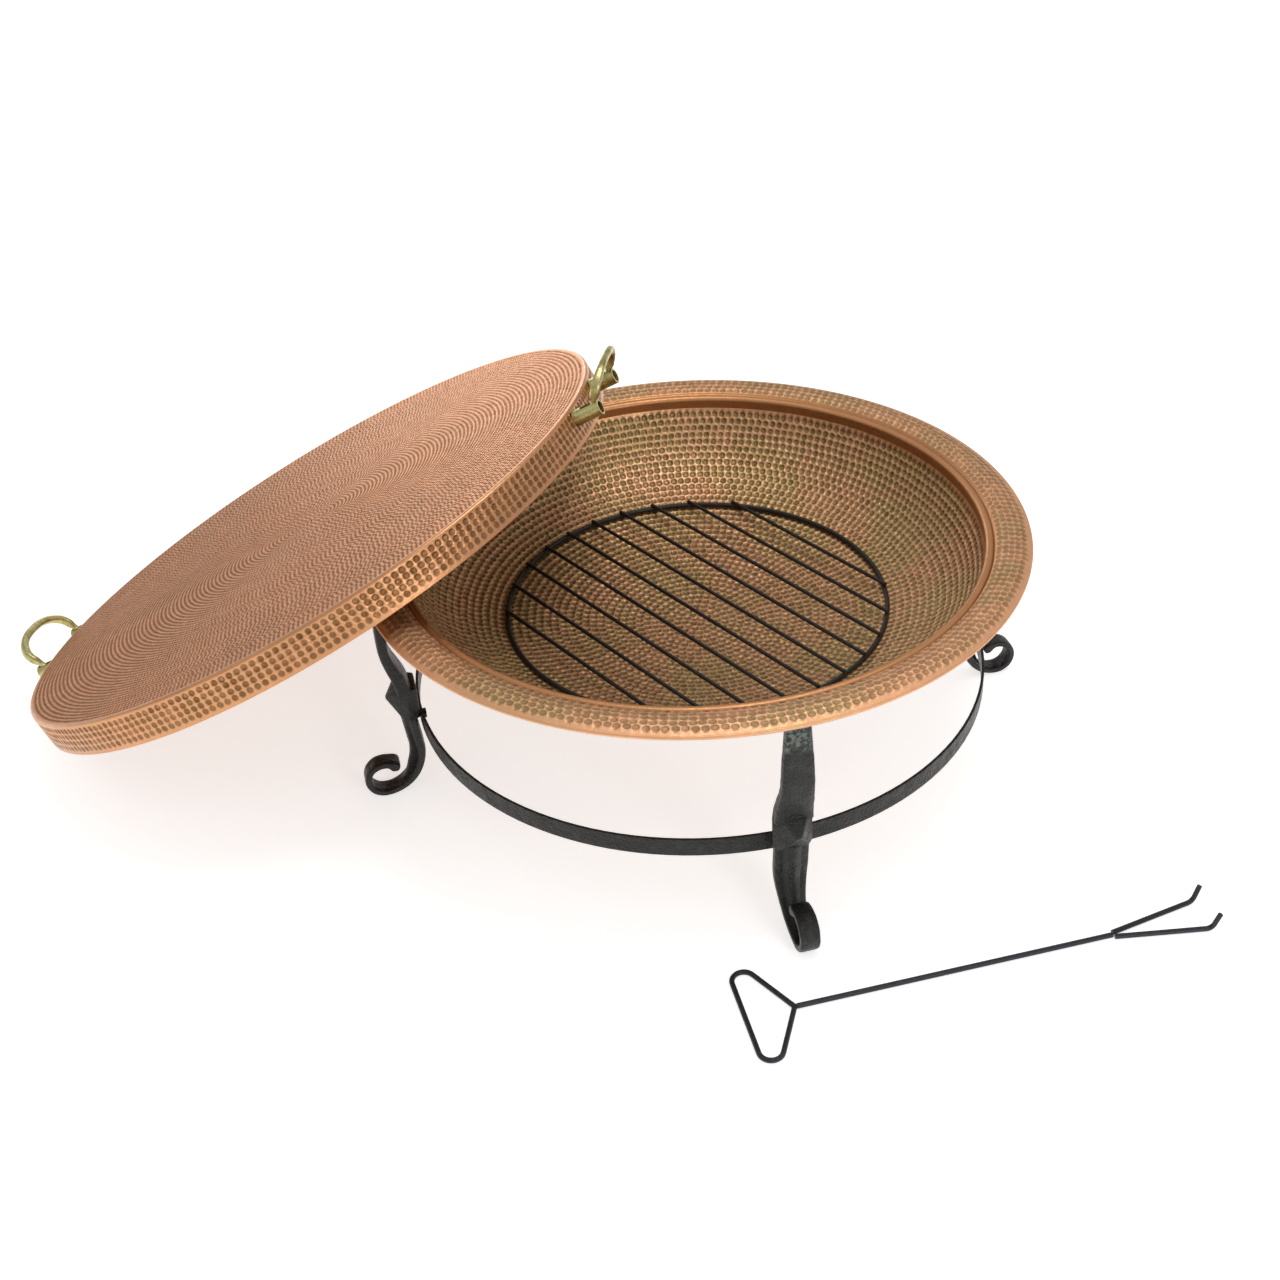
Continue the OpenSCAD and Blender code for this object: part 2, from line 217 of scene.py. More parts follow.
def line_profile(points):
    """Profile through [r, z] points: (r, z, normal r, normal z) at an arc length.

    The normal is on the left of the direction of travel.
    """
    p = np.asarray(points, float)
    length = np.concatenate([[0], np.cumsum(np.hypot(*np.diff(p, axis=0).T))])
    tangent = np.gradient(p, length, axis=0)
    tangent /= np.hypot(*tangent.T)[:, None]

    def at(s):
        r, z = np.interp(s, length, p[:, 0]), np.interp(s, length, p[:, 1])
        tr, tz = np.interp(s, length, tangent[:, 0]), np.interp(s, length, tangent[:, 1])
        n = math.hypot(tr, tz)
        return r, z, -tz / n, tr / n

    at.length = length[-1]
    return at


def arc(c, r, start, end, count):
    """Count points [r, z] on a circle, both ends among them."""
    t = np.linspace(start, end, count)
    return np.stack([c[0] + r * np.cos(t), c[1] + r * np.sin(t)], 1)


# ---- Materials ----
def material(name):
    """A new material, its node tree and its shader."""
    mat = bpy.data.materials.new(name)
    mat.use_nodes = True
    tree = mat.node_tree
    return mat, tree, tree.nodes["Principled BSDF"]


# A mix node has sockets of the same name for each data type; these are the colour ones.
COLOUR_A, COLOUR_B, COLOUR_RESULT = 6, 7, 2
GRAIN = (0.3, 0.7)  # where nearly all of a noise texture's values lie


class Graph:
    """Short ways to add the nodes that these materials share."""

    def __init__(self, tree):
        self.tree = tree
        self.place = tree.nodes.new("ShaderNodeTexCoord").outputs["Object"]

    def link(self, value, socket):
        if isinstance(value, bpy.types.NodeSocket):
            self.tree.links.new(value, socket)
        else:
            socket.default_value = value

    def noise(self, scale, detail=4.0, rough=0.55):
        node = self.tree.nodes.new("ShaderNodeTexNoise")
        self.tree.links.new(self.place, node.inputs["Vector"])
        node.inputs["Scale"].default_value = scale
        node.inputs["Detail"].default_value = detail
        node.inputs["Roughness"].default_value = rough
        return node.outputs["Fac"]

    def attribute(self, name):
        node = self.tree.nodes.new("ShaderNodeAttribute")
        node.attribute_name = name
        return node.outputs["Fac"]

    def height(self):
        node = self.tree.nodes.new("ShaderNodeSeparateXYZ")
        self.tree.links.new(self.place, node.inputs["Vector"])
        return node.outputs["Z"]

    def spread(self, value, low, high, to_low=0.0, to_high=1.0):
        """The value eased from to_low, at low and below, to to_high, at high and above."""
        node = self.tree.nodes.new("ShaderNodeMapRange")
        node.interpolation_type = "SMOOTHSTEP"
        self.link(value, node.inputs["Value"])
        ends = {"From Min": low, "From Max": high, "To Min": to_low, "To Max": to_high}
        for name, end in ends.items():
            node.inputs[name].default_value = end
        return node.outputs["Result"]

    def math(self, kind, a, b):
        node = self.tree.nodes.new("ShaderNodeMath")
        node.operation = kind
        self.link(a, node.inputs[0])
        self.link(b, node.inputs[1])
        return node.outputs["Value"]

    def mix(self, fac, a, b):
        node = self.tree.nodes.new("ShaderNodeMix")
        node.data_type = "RGBA"
        self.link(fac, node.inputs["Factor"])
        for value, socket in ((a, node.inputs[COLOUR_A]), (b, node.inputs[COLOUR_B])):
            self.link((*value, 1.0) if isinstance(value, tuple) else value, socket)
        return node.outputs[COLOUR_RESULT]

    def bump(self, height, distance):
        node = self.tree.nodes.new("ShaderNodeBump")
        self.link(height, node.inputs["Height"])
        node.inputs["Distance"].default_value = distance
        node.inputs["Strength"].default_value = 1.0
        return node.outputs["Normal"]


def copper(name, bright, metal, patina, patches, dirt_and_shade, filled, rough):
    """Hammered copper: bright ridges, patina in patches and dark hammer marks, whose dark colour is
    grime and painted shade together, heaviest on each mark's sloping edge.

    Patches is where patina starts and is full, on a noise texture; filled is how much of a mark's
    colour is the dark grime and painted shade.
    """
    mat, tree, shader = material(name)
    g = Graph(tree)
    stained = g.spread(g.noise(9, 5, 0.6), *patches)
    fine = g.noise(160, 4, 0.6)
    streaks = g.spread(g.noise(38, 4, 0.6), 0.42, 0.62)
    ridges = g.spread(g.attribute("dent"), 0.0, 0.5, 1.0, 0.0)
    base = g.mix(g.math("MULTIPLY", streaks, 0.35), metal, bright)
    base = g.mix(g.math("MULTIPLY", stained, 0.8), base, patina)
    base = g.mix(g.math("MULTIPLY", ridges, 0.6), base, bright)
    tone = g.spread(g.attribute("tone"), 0, 1, -0.25, 0.25)
    # How dark each hammer mark is painted, as grime and painted shade, varied mark by mark.
    worn = g.math("ADD", g.attribute("dent"), g.math("MULTIPLY", tone, g.attribute("dent")))
    marks = g.math("MULTIPLY", worn, g.spread(fine, *GRAIN, 0.6, 1.0))
    # Less in a mark's flat middle, so that the painted shade is heaviest on its sloping edge.
    marks = g.math("MULTIPLY", marks, g.spread(g.attribute("dent"), 0.85, 1.0, 1.0, 0.72))
    # Mixes in the dark colour of the marks, which is grime and painted shade together.
    colour = g.mix(g.math("MULTIPLY", marks, filled), base, dirt_and_shade)
    g.link(colour, shader.inputs["Base Color"])
    roughness = g.math("ADD", g.spread(fine, *GRAIN, rough - 0.06, rough + 0.08),
                       g.math("MULTIPLY", marks, 0.14))
    g.link(roughness, shader.inputs["Roughness"])
    shader.inputs["Metallic"].default_value = 0.92
    grain = g.math("ADD", g.noise(420, 3), g.noise(90, 3))
    g.link(g.bump(grain, 0.00025), shader.inputs["Normal"])
    return mat


def iron(name, colour, worn, rough, grain):
    """Black forged iron, uneven from the hammer, paler where rubbed and grey at the top welds."""
    mat, tree, shader = material(name)
    g = Graph(tree)
    rub = g.spread(g.noise(60, 6, 0.7), 0.5, 0.75)
    weld = g.math("MULTIPLY", g.spread(g.height(), WELD_H, WELD_H + 0.012),
                  g.spread(g.noise(150, 5, 0.7), 0.42, 0.6))
    base = g.mix(g.math("MULTIPLY", rub, 0.6), colour, worn)
    weld_grey = (0.13, 0.15, 0.13)
    g.link(g.mix(weld, base, weld_grey), shader.inputs["Base Color"])
    roughness = g.spread(g.noise(120, 5, 0.6), *GRAIN, rough - 0.1, rough + 0.12)
    g.link(roughness, shader.inputs["Roughness"])
    shader.inputs["Metallic"].default_value = 0.35
    blows = g.math("ADD", g.math("MULTIPLY", g.noise(45, 2), 2.0), g.noise(300, 4))
    g.link(g.bump(blows, grain), shader.inputs["Normal"])
    return mat


def brass(name):
    """Aged yellow brass, bright and brown in patches, with dark specks."""
    mat, tree, shader = material(name)
    g = Graph(tree)
    aged = g.spread(g.noise(55, 6, 0.65), 0.42, 0.66)
    bright, brown, speck = (0.56, 0.50, 0.23), (0.36, 0.31, 0.12), (0.14, 0.10, 0.04)
    base = g.mix(aged, bright, brown)
    specks = g.spread(g.noise(420, 4, 0.6), 0.58, 0.72)
    g.link(g.mix(g.math("MULTIPLY", specks, 0.5), base, speck), shader.inputs["Base Color"])
    g.link(g.spread(g.noise(200, 4), *GRAIN, 0.24, 0.42), shader.inputs["Roughness"])
    shader.inputs["Metallic"].default_value = 1.0
    grain = g.math("ADD", g.noise(500, 4), g.noise(120, 3))
    g.link(g.bump(grain, 0.0002), shader.inputs["Normal"])
    return mat


# In each copper below, the dark colour of the hammer marks is grime and painted shade together.
BOWL_COPPER = copper("bowl_copper", bright=(0.76, 0.41, 0.23), metal=(0.48, 0.26, 0.125),
                     patina=(0.38, 0.285, 0.11), patches=(0.38, 0.58),
                     dirt_and_shade=(0.10, 0.075, 0.028), filled=0.86, rough=0.40)
FLANGE_COPPER = copper("flange_copper", bright=(0.92, 0.50, 0.28), metal=(0.56, 0.31, 0.16),
                       patina=(0.42, 0.30, 0.14), patches=(0.42, 0.62),
                       dirt_and_shade=(0.27, 0.165, 0.085), filled=0.66, rough=0.50)
LIP_COPPER = copper("lip_copper", bright=(0.60, 0.29, 0.13), metal=(0.47, 0.23, 0.095),
                    patina=(0.37, 0.21, 0.09), patches=(0.50, 0.75),
                    dirt_and_shade=(0.22, 0.12, 0.05), filled=0.7, rough=0.42)
LID_COPPER = copper("lid_copper", bright=(0.68, 0.29, 0.115), metal=(0.42, 0.175, 0.060),
                    patina=(0.36, 0.165, 0.060), patches=(0.46, 0.70),
                    dirt_and_shade=(0.135, 0.052, 0.016), filled=0.80, rough=0.40)
SKIRT_COPPER = copper("skirt_copper", bright=(0.76, 0.38, 0.19), metal=(0.42, 0.20, 0.085),
                      patina=(0.34, 0.19, 0.08), patches=(0.46, 0.70),
                      dirt_and_shade=(0.12, 0.058, 0.024), filled=0.85, rough=0.34)
UNDER_COPPER = copper("under_copper", bright=(0.46, 0.24, 0.12), metal=(0.34, 0.18, 0.09),
                      patina=(0.22, 0.14, 0.065), patches=(0.42, 0.62),
                      dirt_and_shade=(0.14, 0.075, 0.035), filled=0.7, rough=0.45)
IRON = iron("forged_iron", colour=(0.010, 0.010, 0.009), worn=(0.055, 0.054, 0.047),
            rough=0.36, grain=0.0022)
GRATE_IRON = iron("grate_wire", colour=(0.018, 0.015, 0.013), worn=(0.05, 0.04, 0.032),
                  rough=0.45, grain=0.0004)
POKER_IRON = iron("poker_wire", colour=(0.018, 0.019, 0.026), worn=(0.05, 0.05, 0.06),
                  rough=0.40, grain=0.0004)
BRASS = brass("handle_brass")


# ---- Bowl ----
def at_bowl(points):
    """Points round the bowl's axis, put where the bowl stands."""
    return points + np.array([BOWL.x, BOWL.y, 0.0])


BOTTOM_C = BOWL_FLOOR + BOTTOM_R
JOIN = math.asin(JOIN_R / BOTTOM_R)
SIDE_C = (JOIN_R - SIDE_R * math.sin(JOIN), BOTTOM_C - (BOTTOM_R - SIDE_R) * math.cos(JOIN))
DOWN = -math.pi / 2
hollow = np.concatenate([
    arc((0, BOTTOM_C), BOTTOM_R, DOWN, DOWN + JOIN, 60),
    arc(SIDE_C, SIDE_R, DOWN + JOIN, DOWN + SIDE_END, 80)[1:]])
inside = line_profile(hollow)

# The skins are split into belts, because one mesh of all the marks would be too large to export.
PITCH = 0.0104
ROW = 0.0102
BOWL_MARK = {"pitch": PITCH, "row": ROW, "radius": 0.0051, "depth": 0.0014,
             "columns": 8, "levels": 7, "jitter": 0.05, "flat": 0.58}
SEAM, FIRST_MARK = 0.12, 0.62  # where a belt starts, and its first marks, as shares of a row
SEAM_RING = 900
BELT = 7
rows = int(inside.length / ROW)
belts = (("bowl_bottom", 0, rows - 3 * BELT), ("bowl_slope", rows - 3 * BELT, rows - 2 * BELT),
         ("bowl_curve", rows - 2 * BELT, rows - BELT), ("bowl_wall", rows - BELT, rows))
for name, first, last in belts:
    skin = Revolved(inside, at_bowl)
    if first == 0:
        skin.centre(0.002)
    else:
        skin.ring((first + SEAM) * ROW, SEAM_RING)
    for k in range(first, last):
        skin.dimples((k + FIRST_MARK) * ROW, rng.uniform(0, SPIN), **BOWL_MARK)
    skin.ring(inside.length if last == rows else (last + SEAM) * ROW, SEAM_RING)
    skin.build(name, "bowl", BOWL_COPPER)

# The plain lip runs on over the foot of the flange, so that no gap shows between the two.
lip = line_profile(np.concatenate([hollow[-1:], arc(LIP_C, LIP_R, math.pi, LIP_END, 24)]))
LIP_RING = 360
lip_skin = Revolved(lip, at_bowl)
for s in np.linspace(0, lip.length, 30):
    lip_skin.ring(s, LIP_RING)

FLANGE_IN, FLANGE_OUT = 0.3832, HEM_C[0] - HEM_R + 0.0004


def flange_angle(r, inset=0.0):
    """Where the flange's arc, drawn smaller by inset, is at radius r."""
    return math.acos((r - FLANGE_C[0]) / (FLANGE_R - inset))


crown = line_profile(
    arc(FLANGE_C, FLANGE_R, flange_angle(FLANGE_IN), flange_angle(FLANGE_OUT), 60))
lip_skin.profile = crown
for s in np.linspace(0, 0.002, 3):
    lip_skin.ring(s, LIP_RING)
lip_skin.build("bowl_lip", "bowl", LIP_COPPER)

FLANGE_PITCH = 0.0108
FLANGE_ROW = 0.0079
FLANGE_MARK = {"pitch": FLANGE_PITCH, "row": FLANGE_ROW, "radius": 0.0056, "depth": 0.0010,
               "columns": 9, "levels": 7, "jitter": 0.06, "flat": 0.62}
FLANGE_ROWS, FLANGE_START, FLANGE_FIRST = 5, 0.0012, 0.0055
FLANGE_RING = 720
flange = Revolved(crown, at_bowl)
flange.ring(FLANGE_START, FLANGE_RING)
for k in range(FLANGE_ROWS):
    offset = k * math.pi * FLANGE_PITCH / RIM_R
    flange.dimples(FLANGE_FIRST + k * FLANGE_ROW, offset, **FLANGE_MARK)
flange.ring(crown.length, FLANGE_RING)
HEM_START = math.radians(100)
hem = line_profile(np.concatenate([
    [crown(crown.length)[:2]], arc(HEM_C, HEM_R, HEM_START, -math.pi, 24)]))
flange.profile = hem
for s in np.linspace(0.0005, hem.length, 26):
    flange.ring(s, FLANGE_RING)
brim = flange.build("bowl_flange", "bowl", FLANGE_COPPER)

# The sheet's other side, from the hem inwards and down to the axis, so that the normal points out.
# Below the lip each hammer mark shows there as a low bump.
outer = line_profile(np.concatenate([
    arc((0, BOTTOM_C), BOTTOM_R + SHEET, DOWN, DOWN + JOIN, 60),
    arc(SIDE_C, SIDE_R + SHEET, DOWN + JOIN, DOWN + SIDE_END, 60)[1:],
    arc(LIP_C, LIP_R - SHEET, math.pi, LIP_END, 16),
    [[LIP_C[0] + LIP_R - 0.001, LIP_C[1] - 0.0006], [FLANGE_IN + 0.0002, LIP_C[1] - 0.0004]],
    arc(FLANGE_C, FLANGE_R - SHEET, flange_angle(FLANGE_IN + 0.0018, SHEET),
        flange_angle(FLANGE_OUT - 0.0013, SHEET), 24),
    [[HEM_C[0] - HEM_R, HEM_C[1]]]])[::-1])
UNDER_MARK = {"pitch": PITCH, "row": ROW, "radius": 0.0050, "depth": -0.0007,
              "columns": 4, "levels": 4, "jitter": 0.06, "flat": 0.2}
WALL_TOP = 0.075  # arc length from the hem to the first bumps
UNDER_SEAM_RING = 600
under_rows = int((outer.length - WALL_TOP) / ROW) - 1
under_split = under_rows // 3
for name, first, last in (("bowl_outside", 0, under_split),
                          ("bowl_underside", under_split, under_rows)):
    under = Revolved(outer, at_bowl)
    if first == 0:
        for s in np.linspace(0, WALL_TOP, 60):
            under.ring(s, 480)
    else:
        under.ring(WALL_TOP + first * ROW, UNDER_SEAM_RING)
    for k in range(first, last):
        under.dimples(WALL_TOP + (k + 0.5) * ROW, rng.uniform(0, SPIN), **UNDER_MARK)
    if last == under_rows:
        under.ring(outer.length - 0.003, CENTRE_RING)
        under.close()
    else:
        under.ring(WALL_TOP + last * ROW, UNDER_SEAM_RING)
    under.build(name, "bowl", UNDER_COPPER)
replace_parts(brim, "bowl_pan")


# ---- Lid ----
lid_centre = Vector(frame["record"]["mounts"][0]["pos_m"])
lean = np.array(Matrix.Rotation(-LID_TILT, 3, "Y"))


def at_lid(points):
    """Points round the lid's axis, z up from its flat top, put where the leaning lid is."""
    return points @ lean.T + np.array(lid_centre)


plate = line_profile([[0, 0], [LID_R - LID_EDGE, 0]])
LID_PITCH = 0.0066
LID_ROW = 0.0062
LID_MARK = {"pitch": LID_PITCH, "row": LID_ROW, "radius": 0.0030, "depth": 0.0012,
            "columns": 5, "levels": 4, "jitter": 0.02, "flat": 0.2}
LID_SEAM, LID_FIRST_MARK = 0.1, 0.6  # as for the bowl's belts
LID_SEAM_RING = 1200
lid_rows = int((LID_R - LID_EDGE) / LID_ROW)
cuts = [round(lid_rows * share) for share in (0, 0.5, 0.71, 0.87, 1)]  # belts of about equal area
for k, (first, last) in enumerate(zip(cuts, cuts[1:])):
    top = Revolved(plate, at_lid)
    if first == 0:
        top.centre(0.001)
    else:
        top.ring((first + LID_SEAM) * LID_ROW, LID_SEAM_RING)
    for row in range(first, last):
        top.dimples((row + LID_FIRST_MARK) * LID_ROW, rng.uniform(0, SPIN), **LID_MARK)
    top.ring(plate.length if last == lid_rows else (last + LID_SEAM) * LID_ROW, LID_SEAM_RING)
    top.build(f"lid_top_{k + 1}", "lid", LID_COPPER)

edge = line_profile(np.concatenate([
    arc((LID_R - LID_EDGE, -LID_EDGE), LID_EDGE, math.pi / 2, 0, 16),
    [[LID_R, -SKIRT], [LID_R - LID_HEM, -SKIRT]]]))
SKIRT_PITCH = 0.0108
SKIRT_ROW = 0.0094
SKIRT_MARK = {"pitch": SKIRT_PITCH, "row": SKIRT_ROW, "radius": 0.0049, "depth": 0.0014,
              "columns": 10, "levels": 8, "jitter": 0.04, "flat": 0.55}
SKIRT_ROWS, SKIRT_FIRST, SKIRT_BAND = 4, 0.0052, 0.0035  # the band is plain, above the hem
SKIRT_RING = 720
bend = LID_EDGE * math.pi / 2
side = Revolved(edge, at_lid)
for s in np.linspace(0, bend, 10):
    side.ring(s, SKIRT_RING)
for k in range(SKIRT_ROWS):
    side.dimples(bend + SKIRT_FIRST + k * SKIRT_ROW, 0.0, **SKIRT_MARK)
for s in np.linspace(bend + SKIRT - LID_EDGE - SKIRT_BAND, edge.length, 12):
    side.ring(s, SKIRT_RING)
skirt = side.build("lid_side", "lid", SKIRT_COPPER)

cavity = line_profile(np.concatenate([
    [[LID_R - LID_HEM, -SKIRT], [LID_R - LID_HEM, LID_HEM_H - SKIRT],
     [LID_R - SHEET, LID_HEM_H + 0.001 - SKIRT]],
    arc((LID_R - LID_EDGE, -LID_EDGE), LID_EDGE - SHEET, 0, math.pi / 2, 8), [[0.002, -SHEET]]]))
below = Revolved(cavity, at_lid)
for s in np.concatenate([np.linspace(0, 0.06, 30), np.linspace(0.07, cavity.length, 30)]):
    below.ring(s, 480)
below.close()
below.build("lid_inside", "lid", UNDER_COPPER)
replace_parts(skirt, "lid_plate", "lid_skirt")


# ---- Bars that are drawn along a path ----
def ease(value, start, end):
    """0 on start's side, 1 on end's side and smooth between; start may be the larger."""
    t = np.clip((value - start) / (end - start), 0, 1)
    return t * t * (3 - 2 * t)


def bar_outline(width, thick, ridge=0.0, count=64, square=5.0):
    """Cross-section points (across, out) of a bar with rounded edges and a rib on its outer side.

    The larger square is, the sharper are the edges.
    """
    t = np.linspace(0, 2 * np.pi, count, endpoint=False)
    x = np.sign(np.cos(t)) * np.abs(np.cos(t)) ** (2 / square) * width / 2
    y = np.sign(np.sin(t)) * np.abs(np.sin(t)) ** (2 / square) * thick / 2
    rib = ridge * ease(np.abs(x), width * 0.26, width * 0.16) * (y > 0)
    return np.stack([x, y + rib], 1)


def loft(path, outlines):
    """Points and faces of a bar along path points [out, up], with an outline at each of them."""
    path = np.asarray(path, float)
    tangent = np.gradient(path, axis=0)
    tangent /= np.hypot(*tangent.T)[:, None]
    normal = np.stack([-tangent[:, 1], tangent[:, 0]], 1)
    points, faces = [], []
    count = len(outlines[0])
    for p, n, outline in zip(path, normal, outlines):
        for across, out in outline:
            points.append((p[0] + n[0] * out, across, p[1] + n[1] * out))
    for k in range(len(path) - 1):
        a, b = k * count, (k + 1) * count
        faces += [(a + j, a + (j + 1) % count, b + (j + 1) % count, b + j) for j in range(count)]
    faces.append(tuple(range(count))[::-1])
    faces.append(tuple((len(path) - 1) * count + j for j in range(count)))
    return np.array(points), faces


def turned(points, angle):
    """Points turned about the upright axis."""
    c, s = math.cos(angle), math.sin(angle)
    return points @ np.array([[c, s, 0], [-s, c, 0], [0, 0, 1]])


def wobble(count, size):
    """A slow random change along a bar, as the hammer leaves it."""
    t = np.linspace(0, 1, count)
    return 1 + size * sum(np.sin(2 * np.pi * (f * t + rng.random())) for f in (2, 5, 9)) / 3


# ---- Legs ----
LEG_TURN = math.radians(33)
ARM_TOP, ARM_LOW = 0.3178, 0.166
ARM_IN, ARM_OUT, ARM_BEND = 0.4085, 0.4225, 0.235
KNUCKLE_IN, KNUCKLE_OUT = 0.388, 0.408
ARM_W, ARM_SPREAD, ARM_FLARE = 0.030, 0.009, 0.008  # width at the top, and what is added below
KNUCKLE_SOFT = 0.0022
FALL_R, FALL_H = 0.3925, 0.128
FOOT_R, SWEEP_W, SWEEP_H = 0.4385, 0.052, 0.068
CURL_R = 0.0225
CURL_END = math.radians(146)
FALL_T, FALL_W = 0.012, 0.043
FOOT_T, FOOT_W = 0.009, 0.0245
FOOT_EASE = (0.035, 0.15)  # lengths along the bar between which it thins to the foot's size
RIB, RIB_FADE = 0.0085, (0.085, 0.135)
KNOB, KNOB_T, KNOB_EASE = 0.006, 0.006, 0.018
TIP_FLAT = 0.96
EDGE_WOBBLE, FACE_WOBBLE = 0.02, 0.04


def leg_arm_shape():
    """The upper arm: upright under the flange, then inwards and wider to the knuckle."""
    z = np.linspace(ARM_LOW, ARM_TOP, 40)
    inward = ease(z, ARM_BEND + 0.006, ARM_LOW) ** 1.25
    middle = (ARM_IN + ARM_OUT) / 2 * (1 - inward) + (KNUCKLE_IN + KNUCKLE_OUT) / 2 * inward
    thick = (ARM_OUT - ARM_IN) * (1 - inward) + (KNUCKLE_OUT - KNUCKLE_IN) * inward
    width = ARM_W + ARM_SPREAD * ease(z, ARM_TOP, ARM_BEND) + ARM_FLARE * inward
    width = width * wobble(len(z), EDGE_WOBBLE)
    path = np.stack([middle, z], 1)[::-1]
    return loft(path, [bar_outline(w, t) for w, t in zip(width[::-1], thick[::-1])])


def leg_scroll_shape():
    """The lower bar: a ribbed fall, a sweep outwards to the floor and a curl with a knobbed end."""
    fall = np.stack([np.linspace(FALL_R, FOOT_R - SWEEP_W, 12)[:-1],
                     np.linspace(FALL_H, FOOT_T / 2 + SWEEP_H, 12)[:-1]], 1)
    t = np.linspace(0, math.pi / 2, 26)[:-1]
    sweep = np.stack([FOOT_R - SWEEP_W * np.cos(t), FOOT_T / 2 + SWEEP_H * (1 - np.sin(t))], 1)
    curl = arc((FOOT_R, FOOT_T / 2 + CURL_R), CURL_R, DOWN, CURL_END, 90)
    path = np.concatenate([fall, sweep, curl])
    s = np.concatenate([[0], np.cumsum(np.hypot(*np.diff(path, axis=0).T))])
    end = s[-1]
    foot = ease(s, *FOOT_EASE)
    knob = ease(s, end - KNOB_EASE, end - KNOB)
    tip = np.sqrt(1 - TIP_FLAT * np.clip((s - end + KNOB) / KNOB, 0, 1) ** 2)
    width = (FALL_W * (1 - foot) + FOOT_W * foot) * wobble(len(s), EDGE_WOBBLE)
    thick = (FALL_T * (1 - foot) + FOOT_T * foot) * wobble(len(s), FACE_WOBBLE)
    thick = (thick + KNOB_T * knob) * tip
    ridge = RIB * (1 - ease(s, *RIB_FADE))
    return loft(path, [bar_outline(*x) for x in zip(width, thick, ridge)])


def softened(node, width):
    """A copy of a CAD node with rounded edges, which replaces it."""
    obj = bpy.data.objects.new(node + "_forged", nodes[node].data.copy())
    bpy.context.scene.collection.objects.link(obj)
    weld = obj.modifiers.new("weld", "WELD")
    weld.merge_threshold = 1e-5
    flat = obj.modifiers.new("flat", "DECIMATE")
    flat.decimate_type = "DISSOLVE"
    flat.angle_limit = math.radians(1)
    soft = obj.modifiers.new("soft", "BEVEL")
    soft.width = width
    soft.segments = 3
    obj.data.materials.clear()
    obj.data.materials.append(IRON)
    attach(obj, nodes[node]["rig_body"])
    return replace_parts(obj, node)


for k, leg in enumerate(("right", "back", "left", "front")):
    for part, shape in (("arm", leg_arm_shape), ("scroll", leg_scroll_shape)):
        points, faces = shape()
        points = at_bowl(turned(points, LEG_TURN + k * math.pi / 2))
        piece = add_mesh(f"{leg}_leg_{part}_forged", points, faces, "stand", IRON)
        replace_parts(piece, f"{leg}_leg_{part}")
    softened(f"{leg}_leg_knuckle", KNUCKLE_SOFT)


# ---- Bails ----
BAIL_REACH, BAIL_HALF, BAIL_BULGE, BAIL_SQUARE = 0.057, 0.055, 1.12, 2.55
BOSS_R = 0.0105
EYE_R, EYE_BORE, STRAP_T = 0.006, 0.00205, 0.008
EYE_CHAMFER = 0.001
EYE_POINTS = 32
EYE_END, MIDDLE_START, THICK_FROM = 0.012, 0.040, 0.045  # reaches where the bar changes
EYE_W, BAIL_SWELL, BAIL_NARROWING, BAIL_SWELL_T = 0.0065, 0.0062, 0.0030, 0.0032
BAIL_ROUND = 2.8  # how square the bar's section is: 2 is round
BAIL_RISE = {"right": math.radians(50), "left": math.radians(62)}  # above the lid's plane


def bail_path():
    """Points [reach from the pins, side] along the bail, from one eye to the other."""
    t = np.linspace(math.radians(3), math.radians(177), 90)
    reach = BAIL_REACH * np.sin(t) ** (2 / BAIL_SQUARE)
    spread = 1 + (BAIL_BULGE - 1) * ease(reach, BOSS_R, BOSS_R + BAIL_REACH / 2)
    half = np.sign(np.cos(t)) * np.abs(np.cos(t)) ** (2 / BAIL_SQUARE)
    return np.stack([reach, half * spread * BAIL_HALF], 1)


def bail_shape():
    """One bail about its pins' line: x along its reach, y along the pins."""
    path = bail_path()
    reach = path[:, 0]
    wide = (EYE_W + BAIL_SWELL * ease(reach, EYE_END, 2 * EYE_END)
            - BAIL_NARROWING * ease(reach, MIDDLE_START, BAIL_REACH))
    thick = STRAP_T + BAIL_SWELL_T * ease(reach, EYE_END, THICK_FROM)
    points, faces = loft(path, [bar_outline(w, t, square=BAIL_ROUND) for w, t in zip(wide, thick)])
    parts = [points[:, [0, 2, 1]]]
    # Each eye is a ring round its pin: (radius, side) of the six loops of its cross-section.
    loops = [(EYE_BORE, -1), (EYE_R - EYE_CHAMFER, -1), (EYE_R, -0.8),
             (EYE_R, 0.8), (EYE_R - EYE_CHAMFER, 1), (EYE_BORE, 1)]
    turn = np.linspace(0, 2 * np.pi, EYE_POINTS, endpoint=False)
    steps = [(j, (j + 1) % EYE_POINTS) for j in range(EYE_POINTS)]
    for y in (-BAIL_HALF, BAIL_HALF):
        first = sum(map(len, parts))
        for r, side in loops:
            flat = np.full(EYE_POINTS, y + side * STRAP_T / 2)
            parts.append(np.stack([r * np.cos(turn), flat, r * np.sin(turn)], 1))
        for k in range(len(loops)):
            a = first + EYE_POINTS * k
            b = first + EYE_POINTS * ((k + 1) % len(loops))
            faces += [(a + j, a + n, b + n, b + j) for j, n in steps]
    return np.concatenate(parts), faces


